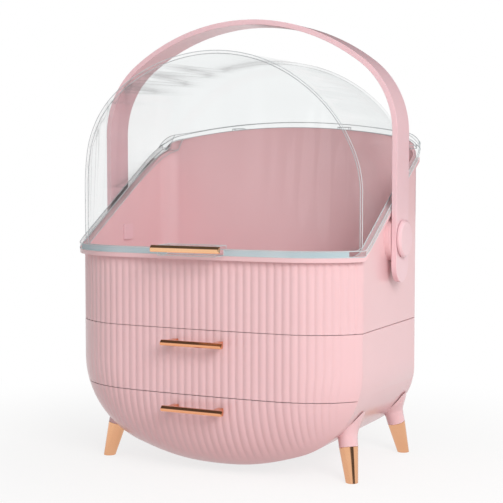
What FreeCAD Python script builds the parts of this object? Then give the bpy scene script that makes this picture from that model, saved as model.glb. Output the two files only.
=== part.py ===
"""Make-up storage case: a three-storey vanity box on four splayed feet.

Two drawers with reeded, bow-fronted faces sit in a U-shaped case.  A tray with a
raised back stands on the case, a clear domed lid is hinged to the top of the back,
and a strap handle swings on two side pivots.

Frame: +Z up, +X to the right, the drawers open towards -Y.  While the pieces are
drawn, y = 0 is the plane of the case opening and z = 0 is the table; every piece is
then moved along Y so that the origin lies under the middle of the whole object.
"""
import FreeCAD, Part
import math
import os
import re
import Sketcher

Vector = FreeCAD.Vector
doc = FreeCAD.newDocument("MakeupCase")

# ---------------------------------------------------------------- driving sizes (mm)
SIZES = (
    # case
    ("case_width", 290.0),          # across the side walls
    ("case_depth", 158.5),          # opening plane to rear wall
    ("case_wall", 3.0),
    ("underside_height", 16.0),     # lowest point of the U above the table
    ("haunch_radius", 78.0),        # where the sides turn in under the case
    ("haunch_height", 102.0),       # height at which the sides start to turn
    ("rear_corner", 20.0),          # plan radius of the two rear corners
    ("shelf_height", 77.5),         # top of the shelf between the drawers
    ("shelf_thickness", 2.0),
    ("ledge_width", 4.0),
    ("ledge_height", 3.0),
    ("deck_thickness", 3.0),
    # bowed and reeded front
    ("front_bulge", 36.8),          # how far the front stands out of the opening
    ("bow_radius", 1450.0),         # gentle bow of the middle of the front
    ("edge_round", 67.0),           # radius that rolls the front back to its edge
    ("reed_pitch", 7.4),
    ("reed_depth", 1.1),            # valleys below the plain surface of the band
    ("reed_sink", 0.2),             # crests below it
    ("reed_drift", 0.3),            # share by which outer reeds lean in at the foot
    # seams
    ("low_seam", 78.0),             # between the two drawer fronts
    ("high_seam", 138.2),           # between the case and the tray
    ("seam_gap", 0.6),
    ("front_gap", 0.5),             # drawer front to case edge
    # tray and its rim
    ("rim_front", 206.1),           # top of the rim along the front
    ("rim_rear", 307.0),            # top of the side rim at the rear wall
    ("rim_start", -4.0),            # where the side rim starts to climb
    ("crown_height", 325.5),        # top of the arched back
    ("crown_rise", 33.5),           # from the foot of the arch to its top
    ("crown_shoulder", 22.0),
    ("crown_reach", 6.0),           # the side rim turns up this far before the rear wall
    ("lip_reach", 4.75),
    ("lip_thickness", 4.0),
    ("tray_wall", 3.0),
    ("tray_depth", 12.0),           # front rim down to the tray floor
    ("tray_floor", 2.5),
    # lid
    ("lid_wall", 2.5),
    ("lid_inset", 0.7),             # dome inside the tray's outline
    ("lid_flange", 5.3),
    ("lid_seat_gap", 0.3),
    ("flange_taper", 5.8),          # taken off each side of the flange at the very rear
    ("taper_run", 26.0),            # before the rear wall, where the taper starts
    ("dome_spring", 262.5),         # height at which the dome starts to curve
    ("dome_rise", 65.5),            # top of the dome above the top of the arched back
    ("dome_haunch", 118.5),         # radius of the dome's shoulders
    ("dome_lean", 24.8),            # how far the top of the front leans back
    ("dome_rear_round", 20.0),
    ("tab_width", 58.0),
    ("tab_reach", 17.0),            # clear lifting tab in front of the flange
    ("tab_thickness", 9.0),
    # hinge between tray and lid
    ("hinge_drop", 9.5),            # axis below the top of the arched back
    ("hinge_setback", 7.0),         # axis behind the rear wall
    ("hinge_offset", 60.0),         # middle of each hinge from the centre line
    ("hinge_pin_radius", 1.5),
    ("knuckle_radius", 3.6),
    ("knuckle_width", 12.0),
    ("ear_width", 8.0),
    ("ear_foot", 12.0),             # the ears' hold on the rear wall, below the axis
    ("hinge_side_gap", 0.3),
    ("running_gap", 0.05),          # round every shaft that turns
    ("press_gap", 0.02),            # round every shaft that stays put
    # drawers
    ("drawer_clearance", 0.6),
    ("drawer_wall", 2.0),
    ("drawer_floor", 2.0),
    ("drawer_front_wall", 3.2),
    ("drawer_rim", 6.0),            # width of the front's back face, against the box
    ("drawer_headroom", 1.0),       # box edge below the deck or the ledges
    # pulls
    ("bar_length", 63.0),
    ("bar_height", 5.0),
    ("bar_depth", 4.6),
    ("bar_top_bevel", 2.2),
    ("bar_low_bevel", 0.8),
    ("bar_end_bevel", 0.7),
    ("bar_reach", 15.2),            # face of the drawer to the front of the bar
    ("post_width", 5.0),
    ("post_spacing", 46.0),
    ("post_seat", 0.2),             # post sunk below the valleys of the reeds
    ("lid_bar_length", 69.6),
    ("lid_bar_height", 6.2),
    ("lid_bar_rise", 6.1),          # middle of the lid's bar above the foot of the tab
    ("upper_pull_height", 126.5),
    ("lower_pull_height", 66.0),
    ("screw_radius", 1.5),
    ("screw_head_radius", 3.2),     # to the corners of the hexagon
    ("screw_head_height", 1.8),
    ("screw_end_gap", 0.5),
    ("spot_depth", 0.3),            # flat seats of the screw heads, cut into the front
    # handle
    ("pivot_height", 219.1),
    ("pivot_depth", 73.8),
    ("strap_width", 33.0),
    ("strap_thickness", 4.8),
    ("strap_stand_off", 5.8),       # side wall to strap
    ("strap_spring", 317.0),
    ("strap_headroom", 30.0),       # top of the dome to the strap
    ("strap_haunch", 80.8),         # radius of the strap's shoulders
    ("strap_tail", 40.6),           # strap end below the pivot
    ("boss_radius", 21.0),
    ("boss_gap", 0.4),
    ("pivot_radius", 5.0),
    ("pivot_collar", 8.0),          # half the side of the square collar
    ("collar_thickness", 2.0),
    ("cap_radius", 17.25),
    ("cap_height", 4.0),
    ("cap_bevel", 1.6),
    ("cap_gap", 0.4),
    # feet
    ("foot_spread", 129.2),         # ground point of each foot from the centre line
    ("front_foot_depth", 16.9),
    ("rear_foot_inset", 1.6),       # rear ground points in front of the rear wall
    ("foot_splay", 0.185),          # sideways lean per unit of height
    ("foot_rake", 0.19),            # lean along Y per unit of height
    ("ferrule_length", 32.0),
    ("ferrule_tip_radius", 5.7),
    ("ferrule_top_radius", 8.8),
    ("leg_root_radius", 17.0),
    ("leg_neck_length", 11.0),
    ("leg_root_length", 30.0),
)

sheet = doc.addObject("Spreadsheet::Sheet", "Sizes")
for row, (name, value) in enumerate(SIZES, start=1):
    sheet.set(f"A{row}", name)
    sheet.set(f"B{row}", str(value))
    sheet.setAlias(f"B{row}", name)
doc.recompute()


def size(name):
    """A driving size, read back from the sheet."""
    return float(sheet.get(name))


half_width = size("case_width") / 2
front_bulge = size("front_bulge")
edge_round = size("edge_round")
wall = size("case_wall")
case_depth = size("case_depth")
rear_corner = size("rear_corner")
half_seam = size("seam_gap") / 2
half_front_gap = size("front_gap") / 2
underside = size("underside_height")
haunch_radius = size("haunch_radius")
haunch_height = size("haunch_height")
high_seam = size("high_seam")
low_seam = size("low_seam")
rim_front = size("rim_front")
beyond = size("case_width")          # reach of cutting tools that only have to be long enough

# The origin goes under the middle of the object: between the front of the lid's bar
# and the back of the hinge.
flange_front = -(front_bulge + size("lip_reach"))
bar_depth = size("bar_depth")
object_front = flange_front - size("tab_reach") - bar_depth
object_back = case_depth + size("hinge_setback") + size("knuckle_radius")
origin_shift = Vector(0, -(object_front + object_back) / 2, 0)

parts = []


def finish(piece, name):
    """Give a sub-part its name and move it from the drawing datum to the origin."""
    piece.Label = name
    piece.Placement = FreeCAD.Placement(
        origin_shift + piece.Placement.Base, piece.Placement.Rotation)
    parts.append(piece)
    return piece


def shape_part(name, shape):
    """A sub-part whose shape is worked out by this script."""
    piece = doc.addObject("Part::Feature", name)
    piece.Shape = shape.removeSplitter()
    return finish(piece, name)


def pair(name, pieces):
    """Two like pieces on opposite sides of the case, as one sub-part."""
    both = doc.addObject("Part::Compound", name)
    both.Links = pieces
    doc.recompute()
    return finish(both, name)


def bound(text):
    """An expression on the sheet's sizes, from their bare names."""
    return re.sub(r"[a-z][a-z_]*", r"Sizes.\g<0>", text)


def new_sketch(body, role):
    """A sketch on one of the body's own origin planes."""
    sketch = body.newObject("Sketcher::SketchObject", body.Name + "Sketch")
    plane = [feature for feature in body.Origin.OriginFeatures if feature.Role == role][0]
    sketch.AttachmentSupport = [(plane, "")]
    sketch.MapMode = "FlatFace"
    return sketch


def bind_point(sketch, geometry, point, across, up):
    """Hold a sketch point at two bound distances from the sketch's origin."""
    for kind, text in (("DistanceX", across), ("DistanceY", up)):
        index = sketch.addConstraint(Sketcher.Constraint(kind, -1, 1, geometry, point, 1.0))
        sketch.setExpression(f"Constraints[{index}]", bound(text))


def sketch_outline(body, role, corners):
    """A closed outline whose corners are given as pairs of expressions."""
    sketch = new_sketch(body, role)
    count = len(corners)
    ring = [Vector(math.cos(2 * math.pi * i / count), math.sin(2 * math.pi * i / count), 0)
            for i in range(count)]
    for i in range(count):
        sketch.addGeometry(Part.LineSegment(ring[i], ring[(i + 1) % count]), False)
    for i, (across, up) in enumerate(corners):
        sketch.addConstraint(Sketcher.Constraint("Coincident", i, 2, (i + 1) % count, 1))
        bind_point(sketch, i, 1, across, up)
    return sketch


def sketch_circles(body, role, circles):
    """Circles whose centres and radii are given as expressions."""
    sketch = new_sketch(body, role)
    for i, (across, up, radius) in enumerate(circles):
        sketch.addGeometry(Part.Circle(Vector(i, i, 0), Vector(0, 0, 1), 1.0), False)
        bind_point(sketch, i, 3, across, up)
        index = sketch.addConstraint(Sketcher.Constraint("Radius", i, 1.0))
        sketch.setExpression(f"Constraints[{index}]", bound(radius))
    return sketch


def turned_body(name, corners):
    """A body turned about its own Z axis from (radius, height) expressions."""
    body = doc.addObject("PartDesign::Body", name)
    sketch = sketch_outline(body, "XZ_Plane", corners)
    turned = body.newObject("PartDesign::Revolution", name + "Turned")
    turned.Profile = sketch
    turned.ReferenceAxis = (sketch, ["V_Axis"])
    turned.Angle = 360
    return body


def aim(piece, base, direction):
    """Stand a piece drawn about Z on a point, along a direction."""
    turn = FreeCAD.Rotation(Vector(0, 0, 1), direction)
    piece.Placement = FreeCAD.Placement(base, turn)
    return piece


def box(low, high):
    """An upright box from its low corner to its high corner."""
    return Part.makeBox(high[0] - low[0], high[1] - low[1], high[2] - low[2], Vector(*low))


def slab(z_low, z_high):
    """Everything between two heights."""
    return box((-beyond, -beyond, z_low), (beyond, beyond, z_high))


def edge(curve):
    return curve.toShape()


# ---------------------------------------------------------------- outline of the U
# The section across the case is a U of three arcs: a shallow belly and two haunches,
# tangent to each other and to the side walls.
haunch_x = half_width - haunch_radius
haunch_drop = underside - haunch_height
belly_radius = ((haunch_radius ** 2 - haunch_x ** 2 - haunch_drop ** 2)
                / (2 * (haunch_drop + haunch_radius)))
belly_height = underside + belly_radius
belly_angle = math.atan2(haunch_x, belly_height - haunch_height)


def depth_inside(x, z):
    """Distance from a point of the section inwards from the U."""
    x = abs(x)
    if z >= haunch_height:
        return half_width - x
    if math.atan2(x, belly_height - z) < belly_angle:
        return belly_radius - math.hypot(x, belly_height - z)
    return haunch_radius - math.hypot(x - haunch_x, z - haunch_height)


def u_prism(inset, y_front, y_rear, z_top):
    """The U, drawn smaller by the inset, extruded along Y."""
    radius = haunch_radius - inset
    belly = belly_radius - inset
    side = half_width - inset
    turn = (math.pi / 2 + belly_angle) / 2
    corner = Vector(belly * math.sin(belly_angle), y_front,
                    belly_height - belly * math.cos(belly_angle))
    middle = Vector(haunch_x + radius * math.sin(turn), y_front,
                    haunch_height - radius * math.cos(turn))
    start = Vector(side, y_front, haunch_height)
    top = Vector(side, y_front, z_top)

    def mirrored(point):
        return Vector(-point.x, point.y, point.z)

    bottom = Vector(0, y_front, underside + inset)
    wire = Part.Wire([
        Part.makeLine(top, start),
        edge(Part.Arc(start, middle, corner)),
        edge(Part.Arc(corner, bottom, mirrored(corner))),
        edge(Part.Arc(mirrored(corner), mirrored(middle), mirrored(start))),
        Part.makeLine(mirrored(start), mirrored(top)),
        Part.makeLine(mirrored(top), top),
    ])
    return Part.Face(wire).extrude(Vector(0, y_rear - y_front, 0))


# ---------------------------------------------------------------- the bowed front
# The front is a cushion over the opening: flat but for a gentle bow in the middle, and
# rolled back by one radius to the edge of the U all the way round.
roll_width = math.sqrt(edge_round ** 2 - (edge_round - front_bulge) ** 2)
edge_fall = roll_width / (edge_round - front_bulge) / front_bulge
OUTSIDE_FALL = 0.6                   # how far the surface runs on, as a share of the bulge
CREASE_RUN = 5.0                     # where an outline's straight side starts, behind the opening


def fullness(x, z, inset):
    """1 on the middle of the front, 0 at its edge, below 0 beyond it."""
    into_roll = roll_width - depth_inside(x, z) + inset
    if into_roll <= 0:
        return 1.0
    if into_roll <= roll_width:
        drop = edge_round - math.sqrt(edge_round ** 2 - into_roll ** 2)
        return 1.0 - drop / front_bulge
    return -OUTSIDE_FALL * math.tanh(edge_fall * (into_roll - roll_width) / OUTSIDE_FALL)


def front_y(x, z, inset=0.0):
    """The y of the front surface; the inset gives the inner face of a wall."""
    bow = x * x / (2 * size("bow_radius"))
    return inset - (front_bulge - bow) * fullness(x, z, inset)


def front_point(x, z, outward=0.0, inset=0.0):
    """A point of the front at height z, moved along the outline's own normal."""
    step = 0.05
    slope = (front_y(x + step, z, inset) - front_y(x - step, z, inset)) / (2 * step)
    length = math.hypot(1.0, slope)
    return Vector(x + outward * slope / length, front_y(x, z, inset) - outward / length, z)


def evenly_along_front(count):
    """x of count + 1 points that divide the front's outline into equal lengths."""
    samples = 2000
    xs = [half_width * (2 * i / samples - 1) for i in range(samples + 1)]
    lengths = [0.0]
    for left, right in zip(xs, xs[1:]):
        rise = front_y(right, high_seam) - front_y(left, high_seam)
        lengths.append(lengths[-1] + math.hypot(right - left, rise))
    if count is None:
        count = round(lengths[-1] / size("reed_pitch"))
    points = []
    nearest = 0
    for i in range(count + 1):
        goal = lengths[-1] * i / count
        while nearest < samples - 1 and lengths[nearest + 1] < goal:
            nearest += 1
        share = (goal - lengths[nearest]) / (lengths[nearest + 1] - lengths[nearest])
        points.append(xs[nearest] + share * (xs[nearest + 1] - xs[nearest]))
    return points


valleys = evenly_along_front(None)
front_flats = 20
flat_stations = evenly_along_front(front_flats)


def lean_in(x, z):
    """Outer reeds drift towards the middle as the case narrows below the haunches."""
    outer = max(abs(x) - (half_width - roll_width), 0.0)
    below = max(haunch_height - z, 0.0) / (haunch_height - underside)
    return x - math.copysign(outer * size("reed_drift") * below, x)


def line_chain(points):
    """Straight edges from point to point."""
    return [Part.makeLine(left, right) for left, right in zip(points, points[1:])]


def reed_corners():
    """Places across the front and depths of the reeds' corners: two flats to a reed."""
    places = [(valleys[0], size("reed_depth"))]
    for left, right in zip(valleys, valleys[1:]):
        places += [((left + right) / 2, size("reed_sink")), (right, size("reed_depth"))]
    return places


def reeded_edges(z):
    """The front outline at height z as a row of reeds, left to right."""
    points = [front_point(lean_in(x, z), z, -depth) for x, depth in reed_corners()]
    return line_chain(points), points[0], points[-1]


def smooth_edges(z, outward=0.0):
    """The front outline at height z without reeds, left to right."""
    points = [front_point(x, z, outward) for x in flat_stations]
    return line_chain(points), points[0], points[-1]


def hollow_edges(z):
    """The inner outline of a drawer front at height z, in flats, left to right."""
    points = [front_point(x, z, 0.0, panel_wall) for x in flat_stations[::2]]
    return line_chain(points), points[0], points[-1]


def front_levels(steps):
    """Heights of the sections through the front, closer where it rolls under."""
    full_turn = math.asin(roll_width / edge_round)
    flat = underside + roll_width
    levels = [flat - edge_round * math.sin(full_turn * (i + 0.5) / steps)
              for i in range(steps, 0, -1)]
    return levels + [flat, haunch_height, high_seam]


def front_block(edges_at, steps):
    """Solid behind the front surface, from below the case to the tray's seam."""
    back = half_width / 2
    side = half_width + wall
    sections = []
    for z in front_levels(steps):
        edges, left, right = edges_at(z)
        sections.append(Part.Wire(edges + [
            Part.makeLine(right, Vector(side, back, z)),
            Part.makeLine(Vector(side, back, z), Vector(-side, back, z)),
            Part.makeLine(Vector(-side, back, z), left),
        ]))
    return Part.makeLoft(sections, True, True)


def plan_wire(z, grow=0.0, reeded=False):
    """The whole outline seen from above: bowed front, straight sides, round corners."""
    side = half_width + grow
    rear = case_depth + grow
    radius = rear_corner + grow
    edges, left, right = reeded_edges(z) if reeded else smooth_edges(z, grow)
    knee = radius * math.sqrt(0.5)
    turn = Vector(side - radius, rear - radius, z)
    nose = [Vector(side, CREASE_RUN, z), Vector(side, rear - radius, z)]
    tail = [Vector(side - radius, rear, z), Vector(radius - side, rear, z)]

    def mirrored(point):
        return Vector(-point.x, point.y, point.z)

    elbow = turn + Vector(knee, knee, 0)
    return Part.Wire(edges + [
        Part.makeLine(right, nose[0]),
        Part.makeLine(nose[0], nose[1]),
        edge(Part.Arc(nose[1], elbow, tail[0])),
        Part.makeLine(tail[0], tail[1]),
        edge(Part.Arc(tail[1], mirrored(elbow), mirrored(nose[1]))),
        Part.makeLine(mirrored(nose[1]), mirrored(nose[0])),
        Part.makeLine(mirrored(nose[0]), left),
    ])


def plan_prism(z_low, z_high, grow=0.0, reeded=False):
    face = Part.Face(plan_wire(high_seam, grow, reeded))
    face.translate(Vector(0, 0, z_low - high_seam))
    return face.extrude(Vector(0, 0, z_high - z_low))


def rounded_box(inset, y_front, z_low, z_high):
    """Upright block with the case's round rear corners, drawn smaller by the inset."""
    side = half_width - inset
    rear = case_depth - inset
    radius = rear_corner - inset
    knee = radius * (1 - math.sqrt(0.5))
    wire = Part.Wire([
        Part.makeLine(Vector(-side, y_front, z_low), Vector(side, y_front, z_low)),
        Part.makeLine(Vector(side, y_front, z_low), Vector(side, rear - radius, z_low)),
        edge(Part.Arc(Vector(side, rear - radius, z_low), Vector(side - knee, rear - knee, z_low),
                      Vector(side - radius, rear, z_low))),
        Part.makeLine(Vector(side - radius, rear, z_low), Vector(radius - side, rear, z_low)),
        edge(Part.Arc(Vector(radius - side, rear, z_low), Vector(knee - side, rear - knee, z_low),
                      Vector(-side, rear - radius, z_low))),
        Part.makeLine(Vector(-side, rear - radius, z_low), Vector(-side, y_front, z_low)),
    ])
    return Part.Face(wire).extrude(Vector(0, 0, z_high - z_low))


def rear_waste(inset):
    """What the two round rear corners leave out of a square block."""
    middle = half_width - rear_corner
    start = case_depth - rear_corner
    side = half_width + wall
    waste = box((-side, start, -beyond), (side, case_depth + wall, beyond))
    waste = waste.cut(box((-middle, start, -beyond), (middle, case_depth + wall, beyond)))
    for x in (-middle, middle):
        waste = waste.cut(Part.makeCylinder(rear_corner - inset, 2 * beyond,
                                            Vector(x, start, -beyond)))
    return waste


def case_space(inset, y_front, z_low, z_high):
    """The room of the case between two heights: U in section, round corners behind."""
    space = u_prism(inset, y_front, case_depth - inset, z_high + wall)
    return space.common(slab(z_low, z_high)).cut(rear_waste(inset))


# ---------------------------------------------------------------- the rim
crown_height = size("crown_height")
crown_rise = size("crown_rise")
crown_spring = crown_height - crown_rise
crown_shoulder = size("crown_shoulder")
shoulder_x = half_width - crown_shoulder
crown_radius = ((shoulder_x ** 2 + crown_rise ** 2 - crown_shoulder ** 2)
                / (2 * (crown_rise - crown_shoulder)))
crown_angle = math.asin(shoulder_x / (crown_radius - crown_shoulder))
rim_start = size("rim_start")
rim_climb = (size("rim_rear") - rim_front) / (case_depth - rim_start)
wall_top = crown_height + crown_shoulder


def below_profile(heights):
    """Everything below a profile seen from the side, from (y, z) pairs."""
    outline = [Vector(-beyond, y, z) for y, z in heights]
    foot = [Vector(-beyond, heights[-1][0], -beyond), Vector(-beyond, heights[0][0], -beyond)]
    ring = outline + foot + outline[:1]
    return Part.Face(Part.makePolygon(ring)).extrude(Vector(2 * beyond, 0, 0))


def under_slope(raised):
    """Everything below the side rim, as if it climbed on past the rear wall."""
    rise = raised / math.cos(math.atan(rim_climb))
    end = case_depth + beyond / 2
    return below_profile([
        (-beyond, rim_front + raised),
        (rim_start, rim_front + raised),
        (end, rim_front + rise + rim_climb * (end - rim_start)),
    ])


def under_arch(raised):
    """Everything below the arched back, behind the place where the side rim turns up."""
    span = half_width + raised
    shoulder = crown_shoulder + raised
    crown = crown_radius + raised
    half_turn = (math.pi / 2 + crown_angle) / 2
    front = case_depth - size("crown_reach") - raised
    bend_x = crown * math.sin(crown_angle)
    bend_z = crown_height - crown_radius + crown * math.cos(crown_angle)
    elbow_x = shoulder_x + shoulder * math.sin(half_turn)
    elbow_z = crown_spring + shoulder * math.cos(half_turn)

    def at(x, z):
        return Vector(x, front, z)

    outline = Part.Wire([
        Part.makeLine(at(span, -beyond), at(span, crown_spring)),
        edge(Part.Arc(at(span, crown_spring), at(elbow_x, elbow_z), at(bend_x, bend_z))),
        edge(Part.Arc(at(bend_x, bend_z), at(0, crown_height + raised), at(-bend_x, bend_z))),
        edge(Part.Arc(at(-bend_x, bend_z), at(-elbow_x, elbow_z), at(-span, crown_spring))),
        Part.makeLine(at(-span, crown_spring), at(-span, -beyond)),
        Part.makeLine(at(-span, -beyond), at(span, -beyond)),
    ])
    return Part.Face(outline).extrude(Vector(0, beyond, 0))


def under_rim(raised=0.0):
    """Everything below the rim: level in front, climbing at the sides, arched behind."""
    return under_slope(raised).fuse(under_arch(raised))


def rim_layer(low, high):
    """The layer that follows the rim between two heights above it."""
    return under_rim(high).cut(under_rim(low))


# ---------------------------------------------------------------- lower case
def make_lower_case():
    """U-shaped shell with a deck on top and two ledges for the shelf."""
    top = high_seam - half_seam
    outer = case_space(0, half_front_gap, 0, top)
    room = case_space(wall, -wall, 0, top - size("deck_thickness"))
    ledge_top = size("shelf_height") - size("shelf_thickness")
    ledge_low = ledge_top - size("ledge_height")
    ledges = case_space(wall / 2, half_front_gap, ledge_low, ledge_top)
    ledges = ledges.cut(case_space(wall + size("ledge_width"), -wall, 0, high_seam))
    return outer.cut(room).fuse(ledges)


def make_shelf():
    """Plate between the drawers, lying on the two ledges of the case."""
    top = size("shelf_height")
    return case_space(wall + half_seam, half_front_gap, top - size("shelf_thickness"), top)


# ---------------------------------------------------------------- drawers
pull_x = size("post_spacing") / 2
screw_hole = size("screw_radius") + size("press_gap")
drawer_inset = wall + size("drawer_clearance")
panel_wall = size("drawer_front_wall")


def post_seat_y(height):
    """Where a pull's posts seat, just below the valleys of the reeds."""
    half = size("post_width") / 2
    return front_y(pull_x + half, height - half) + size("reed_depth") + size("post_seat")


def screw_seat_y(height):
    """Where the screw heads seat, on the inside of the drawer front."""
    return front_y(pull_x, height, panel_wall) - size("spot_depth")


def make_drawer_front(z_low, z_high, pull_height):
    """Reeded front panel, hollow behind, with seats and screw holes for its pull."""
    outer = front_block(reeded_edges, 4).common(slab(z_low, z_high))
    outer = outer.common(u_prism(0, -beyond, -half_front_gap, high_seam))
    hollow = front_block(hollow_edges, 3)
    hollow = hollow.common(slab(z_low + size("drawer_floor"), high_seam + wall))
    hollow = hollow.common(u_prism(size("drawer_rim"), -beyond, wall, high_seam + wall))
    panel = outer.cut(hollow)
    out = Vector(0, 1, 0)
    post_room = size("post_width") / 2 + size("press_gap")
    head_room = size("screw_head_radius") + size("seam_gap")
    for x in (-pull_x, pull_x):
        seat = Vector(x, post_seat_y(pull_height), pull_height)
        panel = panel.cut(Part.makeCylinder(screw_hole, 4 * panel_wall, seat, out))
        panel = panel.cut(box((x - post_room, seat.y - front_bulge, pull_height - post_room),
                              (x + post_room, seat.y, pull_height + post_room)))
        spot_y = screw_seat_y(pull_height)
        panel = panel.cut(box((x - head_room, spot_y, pull_height - head_room),
                              (x + head_room, spot_y + panel_wall, pull_height + head_room)))
    return panel


def make_drawer_box(z_low, z_high):
    """Open-topped box behind the front, following the U of the case."""
    outer = case_space(drawer_inset, -half_front_gap, z_low, z_high)
    floor = max(z_low, underside + drawer_inset) + size("drawer_floor")
    room = case_space(drawer_inset + size("drawer_wall"), -wall, floor, z_high + wall)
    return outer.cut(room)


def make_pull(name, length, height, posts):
    """Bevelled bar along X with its back on y = 0, and hollow posts behind it."""
    body = doc.addObject("PartDesign::Body", name)
    section = sketch_outline(body, "YZ_Plane", [
        ("0", f"{height} / 2"),
        ("bar_top_bevel - bar_depth", f"{height} / 2"),
        ("-bar_depth", f"{height} / 2 - bar_top_bevel"),
        ("-bar_depth", f"bar_low_bevel - {height} / 2"),
        ("bar_low_bevel - bar_depth", f"-{height} / 2"),
        ("0", f"-{height} / 2"),
    ])
    bar = body.newObject("PartDesign::Pad", name + "Bar")
    bar.Profile = section
    bar.SideType = "Symmetric"
    bar.setExpression("Length", bound(length))
    doc.recompute()
    ends = [f"Edge{i}" for i, e in enumerate(bar.Shape.Edges, start=1)
            if e.BoundBox.XLength < size("press_gap")]
    bevel = body.newObject("PartDesign::Chamfer", name + "Ends")
    bevel.Base = (bar, ends)
    bevel.setExpression("Size", bound("bar_end_bevel"))
    doc.recompute()
    if posts is None:
        return body
    for side in (-1, 1):
        post = body.newObject("PartDesign::Pad", name + "Post")
        low, high = (f"{side} * post_spacing / 2 {sign} post_width / 2" for sign in "-+")
        post.Profile = sketch_outline(body, "XZ_Plane", [
            (low, "-post_width / 2"), (high, "-post_width / 2"),
            (high, "post_width / 2"), (low, "post_width / 2")])
        post.Reversed = True
        post.Length = posts
    bore = body.newObject("PartDesign::Pocket", name + "Bores")
    bore.Profile = sketch_circles(body, "XZ_Plane", [
        (f"{side} * post_spacing / 2", "0", "screw_radius + press_gap") for side in (-1, 1)])
    bore.Length = posts
    doc.recompute()
    if bore.Shape.Volume > post.Shape.Volume - math.pi * size("screw_radius") ** 2 * posts:
        raise RuntimeError(name + ": the screw bores cut nothing")
    return body


def make_pull_screws(pull_height, bar_back):
    """Two screws, from inside the drawer front into the posts of its pull."""
    seat = screw_seat_y(pull_height)
    tip = bar_back + size("screw_end_gap")
    screws = []
    for x in (-pull_x, pull_x):
        shank = Part.makeCylinder(size("screw_radius"), seat - tip, Vector(x, tip, pull_height),
                                  Vector(0, 1, 0))
        corners = [Vector(x + size("screw_head_radius") * math.cos(math.radians(turn)), seat,
                          pull_height + size("screw_head_radius") * math.sin(math.radians(turn)))
                   for turn in range(0, 361, 60)]
        head = Part.Face(Part.makePolygon(corners))
        screws.append(shank.fuse(head.extrude(Vector(0, size("screw_head_height"), 0))))
    return screws[0].fuse(screws[1])


def add_drawer(prefix, bottom, box_low, top, box_high, pull_height):
    """A whole drawer: front, box, pull and screws."""
    shape_part(prefix + "_drawer_front", make_drawer_front(bottom, top, pull_height))
    shape_part(prefix + "_drawer_box", make_drawer_box(box_low, box_high))
    bar_back = front_y(0, pull_height) - size("bar_reach") + size("bar_depth")
    pull = make_pull(prefix + "_drawer_pull", "bar_length", "bar_height",
                     post_seat_y(pull_height) - bar_back)
    pull.Placement = FreeCAD.Placement(Vector(0, bar_back, pull_height), FreeCAD.Rotation())
    finish(pull, prefix + "_drawer_pull")
    shape_part(prefix + "_pull_screws", make_pull_screws(pull_height, bar_back))


# ---------------------------------------------------------------- tray
tray_floor_top = rim_front - size("tray_depth")
tray_wall = size("tray_wall")
lip_reach = size("lip_reach")
pivot_y = size("pivot_depth")
pivot_z = size("pivot_height")
strap_inner = half_width + size("strap_stand_off")
hinge_y = case_depth + size("hinge_setback")
hinge_z = crown_height - size("hinge_drop")
ear_width = size("ear_width")
knuckle_width = size("knuckle_width")
knuckle_radius = size("knuckle_radius")


def hinge_barrel(centre, width, bore):
    """A knuckle on the hinge axis, with its pin hole."""
    start = Vector(centre - width / 2, hinge_y, hinge_z)
    axis = Vector(1, 0, 0)
    return (Part.makeCylinder(knuckle_radius, width, start, axis),
            Part.makeCylinder(bore, width, start, axis))


def make_hinge_ears(centre):
    """Two ears on the back of the rear wall that hold one hinge pin."""
    ears = []
    for side in (-1, 1):
        middle = centre + side * (knuckle_width / 2 + size("hinge_side_gap") + ear_width / 2)
        foot = box((middle - ear_width / 2, case_depth - tray_wall / 2, hinge_z - size("ear_foot")),
                   (middle + ear_width / 2, hinge_y, hinge_z))
        barrel, bore = hinge_barrel(
            middle, ear_width, size("hinge_pin_radius") + size("press_gap"))
        ears.append(foot.fuse(barrel).cut(bore))
    return ears


def make_tray():
    """Skirted tray with a raised back, a rim lip, pivot bosses and hinge ears."""
    bottom = high_seam + half_seam
    reed_top = rim_front - size("lip_thickness")
    skirt = plan_prism(bottom, reed_top, 0, True)
    upper = plan_prism(reed_top, wall_top).common(under_rim())
    lip = plan_prism(reed_top, wall_top, lip_reach)
    lip = lip.common(under_slope(0).cut(under_slope(-size("lip_thickness"))))
    lip = lip.common(box((-beyond, -beyond, 0), (beyond, case_depth - rear_corner, wall_top)))
    body = skirt.fuse(upper).fuse(lip)
    for side in (-1, 1):
        reach = strap_inner - size("boss_gap") - half_width + tray_wall / 2
        start = Vector(side * (half_width - tray_wall / 2), pivot_y, pivot_z)
        body = body.fuse(Part.makeCylinder(size("boss_radius"), reach, start, Vector(side, 0, 0)))
    body = body.cut(plan_prism(tray_floor_top, wall_top, -tray_wall))
    skirt_room = tray_wall + size("reed_depth")
    body = body.cut(plan_prism(bottom - wall, tray_floor_top - size("tray_floor"), -skirt_room))
    collar_room = size("pivot_collar") + size("press_gap")
    for side in (-1, 1):
        out = Vector(side, 0, 0)
        start = Vector(side * (half_width - 2 * tray_wall), pivot_y, pivot_z)
        body = body.cut(Part.makeCylinder(
            size("pivot_radius") + size("press_gap"), 4 * tray_wall, start, out))
        middle = side * (half_width - 1.5 * tray_wall)
        body = body.cut(box(
            (middle - tray_wall / 2, pivot_y - collar_room, pivot_z - collar_room),
            (middle + tray_wall / 2, pivot_y + collar_room, pivot_z + collar_room)))
        for ear in make_hinge_ears(side * size("hinge_offset")):
            body = body.fuse(ear)
    return body


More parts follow.
